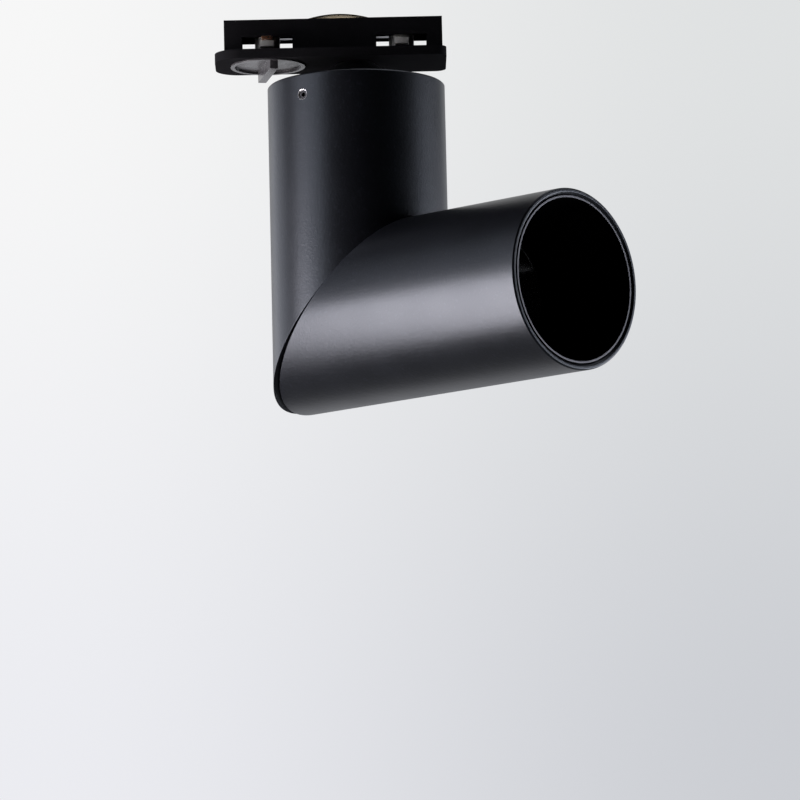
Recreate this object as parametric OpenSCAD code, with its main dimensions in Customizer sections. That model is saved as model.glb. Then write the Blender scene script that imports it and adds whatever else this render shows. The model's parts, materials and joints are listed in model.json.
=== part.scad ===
// Track spotlight made of two equal tubes that meet at a mitre. The upper tube hangs from a
// track adapter and pans about a vertical stem. The head tube turns on the mitred end of the
// upper tube, so that half a turn tips it from straight down to level.
// Sizes are in millimetres. The origin is on the pan axis, in the plane where the adapter's
// flange bears on the track. Z is up and X runs along the track.

/* [Tubes] */
// Outside diameter of both tubes
tube_d = 65; // [64:0.5:72]
// Wall of both tubes
tube_wall = 2.5; // [2:0.1:2.8]
// Long side of the upper tube, from its top rim to the heel of the mitre
tube_long = 118; // [117:1:150]
// Long side of the head tube, from its front rim to the heel of the mitre
head_long = 138; // [134:1:170]
// Angle between a tube's axis and the axis of the mitre joint
mitre = 45; // [44:0.5:46]
// Running gap between the two mitred ends
mitre_gap = 0.5; // [0.4:0.1:1]
// Chamfer on the outer edge of each open rim
rim_chamfer = 0.5; // [0.2:0.1:0.8]
// Lead-in chamfer on the inner edge of each open rim
rim_bevel = 1.1; // [0.4:0.1:1.1]

/* [Pose] */
// Pan of the upper tube as drawn
pan_rest = -37; // [-170:1:170]
// Turn of the head as drawn, 0 is straight down
turn_rest = -170; // [-170:1:170]
// Turn of the lock knob as drawn, 0 is locked
knob_rest = 0; // [0:5:90]

/* [Track adapter] */
// Width of the body that enters the slot of the track
body_w = 13; // [12.6:0.2:14]
// Height of the body above the flange
body_h = 11.2; // [11.2:0.2:14]
// Wall of the body
body_wall = 1.3; // [1:0.1:1.4]
// Thickness of the lid on the body
lid_t = 1.5; // [1.2:0.1:2.4]
// Width of the flange below the track
flange_w = 30; // [29.6:0.2:33]
// Thickness of the flange
flange_t = 3.4; // [3.2:0.1:3.6]
// Length of the flange from the pan axis to its lock end
lock_end = 51.5; // [51:0.5:60]
// Length of the flange from the pan axis to its plain end
plain_end = 33.3; // [33:0.1:45]
// Corner radius of the flange at its lock end
lock_corner = 9; // [4:0.5:10]
// Corner radius of the flange at its plain end
plain_corner = 4; // [2:0.5:10]
// Drop from the upper face of the flange to the rim of the upper tube
rim_drop = 12; // [11.5:0.1:18]

/* [Track lock] */
// Distance from the pan axis to the axis of the lock knob
knob_x = 32.2; // [32:0.1:33]
// Distance from the pan axis to the axis of the rear lock
rear_x = 17; // [17:0.1:17.8]
// Diameter of the lock knob
knob_d = 27.4; // [24:0.2:27.8]
// Depth of the knob's recess in the flange
knob_recess = 2; // [1.8:0.1:2.1]
// How far the face of the knob stands below the flange
knob_proud = 0.5; // [0.3:0.1:1]
// Width of the grip bar across the knob
grip_w = 3; // [2.8:0.1:4]
// Height of the grip bar over the face of the knob
grip_h = 3.1; // [2:0.1:3.6]
// Skew of the grip bar from square across the track when locked
grip_skew = 11; // [0:1:15]
// Depth of the two finger scoops beside the grip bar
scoop_depth = 0.9; // [0.5:0.1:1]
// Reach of the lock wings from their axis
wing_r = 10; // [9:0.1:10.1]
// Width of the lock wings
wing_w = 5; // [4:0.1:5.6]
// Thickness of the lock wings
wing_t = 2.2; // [1.8:0.1:2.4]
// Space between flange and wings for the lip of the track
lip_space = 2; // [1.8:0.1:2.2]
// Thickness of the contact tongues
contact_t = 0.8; // [0.5:0.1:1]
// Crank radius of the link between the two locks
crank_r = 3; // [2.6:0.1:3]

/* [Pan swivel] */
// Radius of the hollow stem
stem_r = 5; // [4.8:0.1:5]
// Radius of the stem's bore
stem_bore = 3.5; // [3.2:0.1:3.7]
// Radius of the collar at its foot
collar_r = 14; // [12:0.5:18]
// Radius of the collar at the flange
collar_top_r = 7; // [6.5:0.1:8]
// Height of the cylindrical foot of the collar
collar_foot = 2.6; // [1.5:0.1:3]
// Thickness of the cap in the upper tube
cap_t = 12; // [11.5:0.1:13]
// Depth of the set screws below the rim
set_drop = 7.7; // [7:0.1:8.2]
// Radius of the set screws
set_r = 1.5; // [1.3:0.1:2]

/* [Mitre joint] */
// Thickness of the plate in each mitred end
plate_t = 4; // [3.5:0.1:4.5]
// Radius of the hollow pivot
pivot_r = 6; // [5.6:0.1:6.3]
// Radius of the pivot's bore
pivot_bore = 4; // [3:0.1:4.3]
// Radius of the two stop pins
stop_pin_r = 1; // [0.8:0.1:1.1]
// Width of the tab on the stop washers
stop_tab_w = 1.2; // [1:0.1:1.4]

/* [Driver] */
// Length of the driver box along the tube
driver_h = 28; // [22:0.5:29]
// Width of the driver box
driver_w = 34; // [28:0.5:36]
// Depth of the driver box
driver_depth = 28; // [24:0.5:29]

/* [Light engine] */
// Height of the heat sink's fins
fin_h = 14; // [10:0.5:16]
// Thickness of the heat sink's base
sink_base = 5; // [4.5:0.1:6]
// Thickness of the heat sink's fins
fin_t = 1.6; // [1.2:0.1:2]
// Radius of the emitter board
board_r = 20; // [19.6:0.1:21]
// Radius of the emitter
chip_r = 7; // [5:0.1:8]
// Height of the reflector
refl_h = 9.4; // [8:0.1:11]
// Radius of the reflector's mouth, inside
refl_r = 20; // [19:0.1:20.4]
// Thickness of the front glass
glass_t = 1.8; // [1.5:0.1:2.5]
// Straight length at the mouth of the baffle
mouth_len = 10; // [6:0.5:12]
// Wall of the baffle
baffle_t = 0.8; // [0.6:0.1:1.2]
// Set-back of the baffle's lip behind the front rim
lip_inset = 0.4; // [0.2:0.1:0.8]

/* [Clearances] */
// Radial clearance of each turning fit
run_gap = 0.05; // [0.03:0.01:0.08]
// Clearance of each seat that does not move
seat_gap = 0.05; // [0.03:0.01:0.1]
// Clearance of moving pieces that pass each other
pass_gap = 0.6; // [0.4:0.1:0.6]

/* [Hidden] */
$fn = 96;

// Steps shared by many pieces: a cutter's overrun, the lap of joined shapes, a small play along
// an axis, the room round a loose ring, and the length that a mitre cut takes off
over = 1;
lap = 0.5;
shim = 0.1;
free_gap = 0.3;
spare = 10;

// Tubes
tube_r = tube_d / 2;
bore_r = tube_r - tube_wall;
fill_r = bore_r - seat_gap;
tube_c = tube_long - tube_r * tan(mitre);
head_c = head_long - tube_r * tan(mitre);
big = 400;

// Adapter
body_in = body_w / 2 - body_wall;
lock_step = 3.5;
plain_step = 1.3;
body_lock = lock_end - lock_step;
body_plain = plain_end - plain_step;
cavity_lock = knob_x + wing_r + pass_gap;
cavity_plain = rear_x + wing_r + pass_gap;
boss_half = rear_x - wing_r - pass_gap;
boss_h = lip_space + wing_t + free_gap;
contact_rise = 0.8;
contact_z = lip_space + wing_t + contact_rise;
rotor_r = body_in - pass_gap;
rotor_crown = 1.1;
rotor_h = contact_z + contact_t + rotor_crown;
window_half = sqrt(wing_r * wing_r - body_in * body_in) + pass_gap + shim;
window_below = 0.4;
window_above = 0.5;
window_z = lip_space - window_below;
window_top = contact_z + contact_t + window_above;
contact_w = 4;
tongue_in = 1.6;
slot_in = 1.4;
slot_len = rotor_r + over - slot_in;
link_z = rotor_h + shim;
link_t = 1.4;
link_w = 3;
link_eye = 0.2;
link_play = 3 * run_gap;
crank_pin_r = 0.9;
crank_past = 0.4;
crank_set = 45;
crank_angle = crank_set + knob_rest;
lead_r = 1;
lead_z = link_z + link_t + lead_r + free_gap;
lead_off = 1.3;
lead_bend = 2.5;
live_stop = 5;
neutral_stop = 1;
lid_screw_r = 1;
lid_head_r = 1.6;
lid_head_h = 1;
lid_screw_len = 7;
lid_slot = 0.5;
lid_screw_lock = (body_lock + cavity_lock) / 2;
lid_screw_plain = (body_plain + cavity_plain) / 2;
spring_r = 40;
spring_half = 12;
spring_t = 0.5;
spring_w = 6;
spring_foot = 3;
spring_x = -6;

// Knob
knob_r = knob_d / 2;
knob_gap = 0.25;
knob_top = -flange_t + knob_recess - shim;
knob_face = -flange_t - knob_proud;
grip_back = 1;
grip_len = knob_d - 2 * grip_back;
scoop_rim = 1.6;
scoop_r = knob_r - scoop_rim;
tang = 2.2;
tang_len = 3.6;
rear_pin_r = 2;
rear_pin_len = 1.3;

// Pan swivel
cap_recess = 0.5;
glide_t = 0.8;
cap_top = -rim_drop - cap_recess;
cap_bottom = cap_top - cap_t;
cap_disc = 4;
cap_hub = 13;
cap_skirt = 5;
glide_back = 0.5;
collar_bottom = cap_top + glide_t + seat_gap;
wave_t = 1;
stop_t = 1.6;
nut_t = 4;
nut_r = 8.2;
stop_at = 11;
tab_past = 1.8;
stop_reach = stop_at + tab_past;
stop_ring = 8.5;
pan_wave_r = 9.4;
pan_wave_top = cap_bottom - seat_gap;
pan_stop_top = pan_wave_top - wave_t - seat_gap;
pan_nut_top = pan_stop_top - stop_t - seat_gap;
stem_past = 1.8;
stem_end = pan_nut_top - nut_t - stem_past;
groove_depth = 1.4;
set_sunk = 0.6;
set_hex_r = 0.85;
set_hex_depth = 1.5;
set_tip = fill_r - groove_depth + seat_gap;
set_len = tube_r - set_sunk - set_tip;
hole_chamfer = 0.2;
pin_depth = 3;
pin_short = 0.2;

// Driver
driver_drop = 4.5;
driver_top = stem_end - driver_drop;
hub_gap = 0.3;
driver_y = cap_hub + hub_gap;
bracket_t = 1.4;
bracket_up = 2;
foot_back = 1.9;
foot_far = fill_r - cap_skirt - foot_back;
foot_x = 16;
foot_top = cap_top - cap_disc;
screw_r = 1.5;
screw_head_r = 2.7;
screw_head_h = 1.6;
screw_hex_r = 1.4;
screw_hex_depth = 1;
head_room = 0.2;
foot_screw_x = 4.6;
foot_screw_y = driver_y + seat_gap + bracket_t + screw_head_r + head_room;
driver_screw_len = 6;

// Mitre joint
half_gap = mitre_gap / 2;
plate_in = half_gap + plate_t;
sleeve_head_r = 10;
sleeve_head_t = 2.5;
turn_wave_r = 9.8;
turn_wave_w = -plate_in - seat_gap;
turn_stop_w = turn_wave_w - wave_t - seat_gap;
turn_nut_w = turn_stop_w - stop_t - seat_gap;
pivot_nut_r = 9.6;
pivot_past = 2;
pivot_end = -turn_nut_w + nut_t + pivot_past;
turn_stop_at = 11.6;
turn_stop_reach = turn_stop_at + tab_past;
turn_stop_ring = 9.4;
washer_in = pivot_r + pass_gap;
washer_out = 17;

// Light engine
sink_back = 1.5;
sink_z = fill_r * tan(mitre) + plate_in / cos(mitre) + sink_back;
sink_top = sink_z + fin_h + sink_base;
fin_pitch = 5;
fin_side = 5;
board_t = 1.2;
board_top = sink_top + board_t;
chip_t = 1;
holder_t = 2.5;
holder_top = board_top + holder_t;
holder_r = 22;
holder_in = 9.3;
refl_z = holder_top + seat_gap;
refl_top = refl_z + refl_h;
refl_throat_r = 9.2;
refl_t = 1.2;
refl_rim = 3;
glass_z = refl_top + seat_gap;
glass_lap = 2;
glass_r = refl_r + glass_lap;
baffle_z = glass_z + glass_t + seat_gap;
mouth_z = head_c - lip_inset;
mouth_r = fill_r - baffle_t;
throat_step = 0.6;
throat_r = refl_r + throat_step;
baffle_step = 1;
holder_screw_y = 17;
holder_screw_len = 8.5;
wire_x = 17;
wire_hole = 2.6;
wire_r = 1.6;
wire_bend = 6;
drive_wire_x = 14;

// Frames
module at_tube() rotate([0, 0, pan_rest]) translate([0, 0, -rim_drop]) children();
module at_joint() at_tube() translate([0, 0, -tube_c]) rotate([0, 180 - mitre, 0]) children();
module at_head() at_joint() rotate([0, 0, turn_rest]) rotate([0, mitre, 0]) children();
module at_knob() translate([-knob_x, 0, 0]) rotate([0, 0, knob_rest]) children();
module at_rear() translate([rear_x, 0, 0]) rotate([0, 0, knob_rest]) children();

// Shared shapes
module ring(r_out, r_in, h) {
    difference() {
        cylinder(r = r_out, h = h);
        translate([0, 0, -over]) cylinder(r = r_in, h = h + 2 * over);
    }
}

// A piece of tube from z = 0 up, both edges chamfered at the top
module rim_tube(len) {
    rotate_extrude()
        polygon([
            [bore_r, 0],
            [tube_r, 0],
            [tube_r, len - rim_chamfer],
            [tube_r - rim_chamfer, len],
            [bore_r + rim_bevel, len],
            [bore_r, len - rim_bevel]
        ]);
}

// A round lead with one leg up and one leg out, joined by a bend of the given turn
module bent_lead(r, bend, turn, up_len, out_len) {
    tangent = bend * tan(turn / 2);
    translate([0, 0, tangent]) cylinder(r = r, h = up_len - tangent);
    rotate([0, 180 - turn, 0]) translate([0, 0, tangent]) cylinder(r = r, h = out_len - tangent);
    translate([bend, 0, tangent])
        rotate([90, 0, 0])
            rotate([0, 0, 180])
                rotate_extrude(angle = turn)
                    translate([bend, 0]) circle(r = r);
}

// A cap screw along z: its head below z = 0, its shank above
module cap_screw(len) {
    difference() {
        translate([0, 0, -screw_head_h]) cylinder(r = screw_head_r, h = screw_head_h);
        translate([0, 0, -screw_head_h - over])
            cylinder(r = screw_hex_r, h = screw_hex_depth + over, $fn = 6);
    }
    cylinder(r = screw_r, h = len);
}

module stop_washer(r_in, r_out, reach) {
    difference() {
        union() {
            cylinder(r = r_out, h = stop_t);
            translate([-reach, -stop_tab_w / 2, 0]) cube([reach, stop_tab_w, stop_t]);
        }
        translate([0, 0, -over]) cylinder(r = r_in, h = stop_t + 2 * over);
    }
}

module hex_nut(r_out, r_in) {
    difference() {
        cylinder(r = r_out, h = nut_t, $fn = 6);
        translate([0, 0, -over]) cylinder(r = r_in, h = nut_t + 2 * over);
    }
}

// The half space on the head's side of the mitre plane, moved by the given amount along its axis
module beyond(w) translate([-big / 2, -big / 2, w]) cube(big);
module before(w) translate([-big / 2, -big / 2, w - big]) cube(big);

// Track adapter
module flange_outline() {
    half = flange_w / 2;
    translate([-lock_end + lock_corner, -half])
        square([lock_end + plain_end - lock_corner - plain_corner, flange_w]);
    translate([-lock_end, -half + lock_corner])
        square([lock_corner + over, flange_w - 2 * lock_corner]);
    translate([plain_end - plain_corner - over, -half + plain_corner])
        square([plain_corner + over, flange_w - 2 * plain_corner]);
    for (side = [-1, 1]) {
        translate([-lock_end + lock_corner, side * (half - lock_corner)]) circle(r = lock_corner);
        translate([plain_end - plain_corner, side * (half - plain_corner)]) circle(r = plain_corner);
    }
}

module lid_screw_places() {
    translate([-lid_screw_lock, 0, 0]) children();
    translate([lid_screw_plain, 0, 0]) children();
}

module adapter_base() {
    color([0.08, 0.08, 0.09])
    difference() {
        union() {
            translate([0, 0, -flange_t]) linear_extrude(flange_t) flange_outline();
            difference() {
                translate([-body_lock, -body_w / 2, 0])
                    cube([body_lock + body_plain, body_w, body_h]);
                translate([-cavity_lock, -body_in, 0])
                    cube([cavity_lock + cavity_plain, 2 * body_in, body_h + over]);
                for (x = [-knob_x, rear_x])
                    translate([x - window_half, -body_w, window_z])
                        cube([2 * window_half, 2 * body_w, window_top - window_z]);
            }
            translate([-boss_half, -body_in - shim, 0])
                cube([2 * boss_half, 2 * (body_in + shim), boss_h]);
        }
        translate([0, 0, -flange_t - over])
            cylinder(r = stem_r + seat_gap, h = boss_h + flange_t + 2 * over);
        translate([-knob_x, 0, -flange_t - over])
            cylinder(r = knob_r + knob_gap, h = knob_recess + over);
        translate([-knob_x, 0, -flange_t]) cylinder(r = rotor_r + run_gap, h = flange_t + lap);
        translate([rear_x, 0, -rear_pin_len - shim])
            cylinder(r = rear_pin_r + run_gap, h = rear_pin_len + lap);
        lid_screw_places()
            translate([0, 0, body_h + lid_t - lid_screw_len])
                cylinder(r = lid_screw_r + seat_gap, h = lid_screw_len);
    }
}

module adapter_lid() {
    color([0.08, 0.08, 0.09])
    difference() {
        translate([-body_lock, -body_w / 2, body_h]) cube([body_lock + body_plain, body_w, lid_t]);
        lid_screw_places() {
            translate([0, 0, body_h - over])
                cylinder(r = lid_screw_r + seat_gap, h = lid_t + 2 * over);
            translate([0, 0, body_h + lid_t - lid_head_h])
                cylinder(r = lid_head_r + seat_gap, h = lid_head_h + over);
        }
    }
}

module lid_screws() {
    color([0.7, 0.7, 0.72])
    lid_screw_places() {
        difference() {
            translate([0, 0, body_h + lid_t - lid_head_h]) cylinder(r = lid_head_r, h = lid_head_h);
            translate([-lid_slot / 2, -lid_head_r - over, body_h + lid_t - lid_slot])
                cube([lid_slot, 2 * (lid_head_r + over), lid_slot + over]);
        }
        translate([0, 0, body_h + lid_t - lid_screw_len + shim])
            cylinder(r = lid_screw_r, h = lid_screw_len - lid_head_h - shim);
    }
}

module earth_spring() {
    top = body_h + lid_t;
    drop = sqrt(spring_r * spring_r - spring_half * spring_half);
    color([0.8, 0.62, 0.3])
    translate([spring_x, 0, top]) {
        intersection() {
            translate([0, spring_w / 2, -drop])
                rotate([90, 0, 0]) ring(spring_r + spring_t, spring_r, spring_w);
            translate([-spring_half - spring_foot, -spring_w, 0])
                cube([2 * (spring_half + spring_foot), 2 * spring_w, spring_r]);
        }
        for (side = [-1, 1])
            translate([side * (spring_half + spring_foot / 2) - spring_foot / 2, -spring_w / 2, 0])
                cube([spring_foot, spring_w, spring_t]);
    }
}

module swivel_stem() {
    color([0.75, 0.75, 0.77])
    translate([0, 0, stem_end]) ring(stem_r, stem_bore, boss_h - stem_end);
}

module neck_collar() {
    foot_z = collar_bottom + collar_foot;
    color([0.07, 0.07, 0.08])
    difference() {
        union() {
            translate([0, 0, collar_bottom]) cylinder(r = collar_r, h = collar_foot);
            translate([0, 0, foot_z])
                cylinder(r1 = collar_r, r2 = collar_top_r, h = -flange_t - foot_z);
        }
        translate([0, 0, collar_bottom - over]) cylinder(r = stem_r + seat_gap, h = rim_drop);
    }
}

module pan_wave_washer() {
    color([0.72, 0.72, 0.74])
    translate([0, 0, pan_wave_top - wave_t]) ring(pan_wave_r, stem_r + free_gap, wave_t);
}

module pan_stop_washer() {
    color([0.6, 0.6, 0.62])
    translate([0, 0, pan_stop_top - stop_t])
        stop_washer(stem_r + seat_gap, stop_ring, stop_reach);
}

module stem_nut() {
    color([0.75, 0.68, 0.4])
    translate([0, 0, pan_nut_top - nut_t]) hex_nut(nut_r, stem_r + seat_gap);
}

module live_lead() {
    color([0.45, 0.25, 0.12])
    translate([-lead_off, -lead_off, lead_z])
        rotate([0, 180, 0])
            bent_lead(lead_r, lead_bend, 90, lead_z - stem_end, knob_x - rotor_r - live_stop);
}

module neutral_lead() {
    color([0.15, 0.3, 0.65])
    translate([lead_off, -lead_off, lead_z])
        rotate([180, 0, 0])
            bent_lead(lead_r, lead_bend, 90, lead_z - stem_end, rear_x - rotor_r - neutral_stop);
}

// Track lock
module crank_pin() {
    rotate([0, 0, crank_set])
        translate([crank_r, 0, rotor_h - shim]) cylinder(r = crank_pin_r, h = link_t + crank_past);
}

module wings() {
    intersection() {
        translate([-wing_w / 2, -wing_r, lip_space]) cube([wing_w, 2 * wing_r, wing_t]);
        cylinder(r = wing_r, h = rotor_h);
    }
}

// The slot that a contact tongue sits in, on the side given by its sign
module contact_slot(side) {
    middle = side * (slot_in + slot_len / 2);
    translate([-contact_w / 2 - seat_gap, middle - slot_len / 2, contact_z - seat_gap])
        cube([contact_w + 2 * seat_gap, slot_len, contact_t + 2 * seat_gap]);
}

module contact_tongue(side) {
    tongue_len = wing_r - tongue_in;
    middle = side * (wing_r + tongue_in) / 2;
    translate([-contact_w / 2, middle - tongue_len / 2, contact_z])
        cube([contact_w, tongue_len, contact_t]);
}

module lock_knob() {
    hub = grip_w / 2;
    color([0.1, 0.1, 0.11])
    at_knob()
    difference() {
        union() {
            translate([0, 0, knob_face]) cylinder(r = knob_r, h = knob_top - knob_face);
            rotate([0, 0, grip_skew])
                intersection() {
                    translate([-grip_w / 2, -grip_len / 2, knob_face - grip_h])
                        cube([grip_w, grip_len, grip_h + over]);
                    translate([0, 0, knob_face - grip_h])
                        cylinder(r = knob_r - grip_back, h = grip_h + over);
                }
        }
        for (side = [0, 180])
            rotate([0, 0, side + grip_skew])
                intersection() {
                    translate([hub, -knob_r, knob_face - over])
                        cube([knob_r, knob_d, scoop_depth + over]);
                    translate([0, 0, knob_face - over])
                        cylinder(r = scoop_r, h = scoop_depth + over);
                }
        translate([-tang / 2 - seat_gap, -tang / 2 - seat_gap, knob_top - tang_len - shim])
            cube([tang + 2 * seat_gap, tang + 2 * seat_gap, tang_len + over]);
    }
}

module front_rotor() {
    color([0.75, 0.74, 0.7])
    at_knob() {
        difference() {
            union() {
                translate([0, 0, knob_top]) cylinder(r = rotor_r, h = rotor_h - knob_top);
                wings();
            }
            contact_slot(-1);
        }
        translate([-tang / 2, -tang / 2, knob_top - tang_len]) cube([tang, tang, tang_len + lap]);
        crank_pin();
    }
}

module live_contact() {
    color([0.78, 0.45, 0.25])
    at_knob() contact_tongue(-1);
}

module rear_rotor() {
    color([0.75, 0.74, 0.7])
    at_rear() {
        difference() {
            union() {
                translate([0, 0, shim]) cylinder(r = rotor_r, h = rotor_h - shim);
                wings();
            }
            contact_slot(1);
        }
        translate([0, 0, -rear_pin_len]) cylinder(r = rear_pin_r, h = rear_pin_len + lap);
        crank_pin();
    }
}

module neutral_contact() {
    color([0.78, 0.45, 0.25])
    at_rear() contact_tongue(1);
}

module link_bar() {
    span = knob_x + rear_x;
    color([0.65, 0.65, 0.62])
    translate([-knob_x + crank_r * cos(crank_angle), crank_r * sin(crank_angle), link_z])
    difference() {
        union() {
            translate([0, -link_w / 2, 0]) cube([span, link_w, link_t]);
            cylinder(r = link_w / 2 + link_eye, h = link_t);
            translate([span, 0, 0]) cylinder(r = link_w / 2 + link_eye, h = link_t);
        }
        translate([0, 0, -over]) cylinder(r = crank_pin_r + run_gap, h = link_t + 2 * over);
        translate([span, 0, -over]) cylinder(r = crank_pin_r + link_play, h = link_t + 2 * over);
    }
}

// Upper tube
module set_screw_places() {
    for (a = [-90, 90])
        rotate([0, 0, a]) translate([0, 0, -set_drop]) rotate([0, 90, 0]) children();
}

module upper_tube() {
    color([0.16, 0.16, 0.18])
    at_tube()
    difference() {
        translate([0, 0, -tube_long - spare]) rim_tube(tube_long + spare);
        translate([0, 0, -tube_c]) rotate([0, 180 - mitre, 0]) beyond(-half_gap);
        set_screw_places() {
            cylinder(r = set_r + seat_gap, h = tube_r + over);
            translate([0, 0, tube_r - hole_chamfer])
                cylinder(r1 = set_r + seat_gap, r2 = set_r + seat_gap + over, h = over);
        }
    }
}

module top_cap() {
    color([0.14, 0.14, 0.16])
    rotate([0, 0, pan_rest])
    difference() {
        translate([0, 0, cap_bottom]) cylinder(r = fill_r, h = cap_t);
        translate([0, 0, cap_bottom - over])
            ring(fill_r - cap_skirt, cap_hub, cap_t - cap_disc + over);
        translate([0, 0, cap_bottom - over]) cylinder(r = stem_r + run_gap, h = cap_t + 2 * over);
        translate([0, 0, -rim_drop - set_drop - set_r - free_gap])
            ring(fill_r + over, fill_r - groove_depth, 2 * (set_r + free_gap));
        translate([stop_at, 0, cap_bottom - over])
            cylinder(r = stop_pin_r + seat_gap, h = pin_depth + over + shim);
        for (side = [-1, 1])
            translate([side * foot_screw_x, foot_screw_y, foot_top - over])
                cylinder(r = screw_r + seat_gap, h = pin_depth + over + shim);
    }
}

module glide_washer() {
    color([0.85, 0.85, 0.82])
    translate([0, 0, cap_top]) ring(collar_r - glide_back, stem_r + free_gap, glide_t);
}

module set_screws() {
    color([0.55, 0.55, 0.57])
    at_tube()
    set_screw_places()
    difference() {
        translate([0, 0, set_tip]) cylinder(r = set_r, h = set_len);
        translate([0, 0, set_tip + set_len - set_hex_depth])
            cylinder(r = set_hex_r, h = set_hex_depth + over, $fn = 6);
    }
}

module pan_stop_pin() {
    color([0.7, 0.7, 0.72])
    rotate([0, 0, pan_rest])
    translate([stop_at, 0, pan_stop_top - stop_t + pin_short])
        cylinder(r = stop_pin_r, h = cap_bottom + pin_depth - pan_stop_top + stop_t - pin_short);
}

module driver_bracket() {
    color([0.7, 0.71, 0.72])
    rotate([0, 0, pan_rest])
    difference() {
        union() {
            translate([-foot_x / 2, driver_y + seat_gap, driver_top - driver_h + bracket_up])
                cube([foot_x, bracket_t, foot_top - driver_top + driver_h - bracket_up]);
            translate([-foot_x / 2, driver_y + seat_gap, foot_top - bracket_t])
                cube([foot_x, foot_far - driver_y - seat_gap, bracket_t]);
        }
        for (side = [-1, 1])
            translate([side * foot_screw_x, foot_screw_y, foot_top - bracket_t - over])
                cylinder(r = screw_r + shim, h = bracket_t + 2 * over);
        driver_screw_places()
            translate([0, 0, -over]) cylinder(r = screw_r + shim, h = bracket_t + 2 * over);
    }
}

// Two places on the bracket's outer face, their z pointing at the driver
module driver_screw_places() {
    for (share = [0.3, 0.7])
        translate([0, driver_y + seat_gap + bracket_t, driver_top - share * driver_h])
            rotate([90, 0, 0]) children();
}

module bracket_screws() {
    color([0.75, 0.75, 0.77])
    rotate([0, 0, pan_rest])
    for (side = [-1, 1])
        translate([side * foot_screw_x, foot_screw_y, foot_top - bracket_t])
            cap_screw(bracket_t + pin_depth);
}

module driver_screws() {
    color([0.75, 0.75, 0.77])
    rotate([0, 0, pan_rest])
    driver_screw_places() cap_screw(driver_screw_len);
}

module led_driver() {
    color([0.9, 0.9, 0.88])
    rotate([0, 0, pan_rest])
    difference() {
        translate([-driver_w / 2, driver_y - driver_depth, driver_top - driver_h])
            cube([driver_w, driver_depth, driver_h]);
        driver_screw_places() cylinder(r = screw_r + seat_gap, h = driver_screw_len + shim);
    }
}

module input_leads() {
    color([0.3, 0.27, 0.35])
    for (side = [-1, 1])
        translate([side * lead_off, -lead_off, driver_top])
            cylinder(r = lead_r, h = stem_end - driver_top);
}

module output_lead() {
    corner_z = -rim_drop - tube_c + drive_wire_x / tan(mitre);
    color([0.85, 0.85, 0.85])
    rotate([0, 0, pan_rest])
    translate([-drive_wire_x, 0, corner_z])
        bent_lead(
            wire_r, wire_bend, mitre,
            driver_top - driver_h - corner_z, drive_wire_x / sin(mitre) - pivot_end
        );
}

// Mitre joint
module tube_end_plate() {
    color([0.05, 0.05, 0.055])
    at_tube()
    intersection() {
        translate([0, 0, -tube_long - spare]) cylinder(r = fill_r, h = tube_long);
        translate([0, 0, -tube_c])
            rotate([0, 180 - mitre, 0])
                difference() {
                    translate([-big / 2, -big / 2, -plate_in]) cube([big, big, plate_t]);
                    translate([0, 0, -plate_in - over])
                        cylinder(r = pivot_r + run_gap, h = plate_t + 2 * over);
                    translate([turn_stop_at, 0, -plate_in - over])
                        cylinder(r = stop_pin_r + seat_gap, h = pin_depth + over + shim);
                }
    }
}

module turn_stop_pin() {
    color([0.7, 0.7, 0.72])
    at_joint()
    translate([turn_stop_at, 0, turn_stop_w - stop_t + pin_short])
        cylinder(r = stop_pin_r, h = pin_depth - plate_in - turn_stop_w + stop_t - pin_short);
}

module head_tube() {
    color([0.16, 0.16, 0.18])
    at_head()
    difference() {
        translate([0, 0, head_c - head_long - spare]) rim_tube(head_long + spare);
        rotate([0, -mitre, 0]) before(half_gap);
    }
}

module head_end_plate() {
    color([0.05, 0.05, 0.055])
    at_head()
    intersection() {
        translate([0, 0, -head_long]) cylinder(r = fill_r, h = 2 * head_long);
        rotate([0, -mitre, 0])
            difference() {
                translate([-big / 2, -big / 2, half_gap]) cube([big, big, plate_t]);
                cylinder(r = pivot_r + seat_gap, h = plate_in + over);
            }
    }
}

module joint_washer() {
    color([0.85, 0.85, 0.82])
    at_joint()
    translate([0, 0, -half_gap + seat_gap])
        ring(washer_out, washer_in, mitre_gap - 2 * seat_gap);
}

module pivot_sleeve() {
    color([0.75, 0.75, 0.77])
    at_joint()
    difference() {
        union() {
            translate([0, 0, -pivot_end]) cylinder(r = pivot_r, h = pivot_end + plate_in);
            translate([0, 0, plate_in]) cylinder(r = sleeve_head_r, h = sleeve_head_t);
        }
        translate([0, 0, -pivot_end - over])
            cylinder(r = pivot_bore, h = pivot_end + plate_in + sleeve_head_t + 2 * over);
    }
}

module turn_wave_washer() {
    color([0.72, 0.72, 0.74])
    at_joint()
    translate([0, 0, turn_wave_w - wave_t]) ring(turn_wave_r, pivot_r + free_gap, wave_t);
}

module turn_stop_washer() {
    color([0.6, 0.6, 0.62])
    at_joint()
    rotate([0, 0, turn_rest])
    translate([0, 0, turn_stop_w - stop_t])
        stop_washer(pivot_r + seat_gap, turn_stop_ring, turn_stop_reach);
}

module pivot_nut() {
    color([0.75, 0.68, 0.4])
    at_joint()
    translate([0, 0, turn_nut_w - nut_t]) hex_nut(pivot_nut_r, pivot_r + seat_gap);
}

// Light engine
module wire_way() {
    translate([-wire_x, 0, sink_z - over])
        cylinder(r = wire_hole, h = fin_h + sink_base + 2 * over);
}

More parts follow.
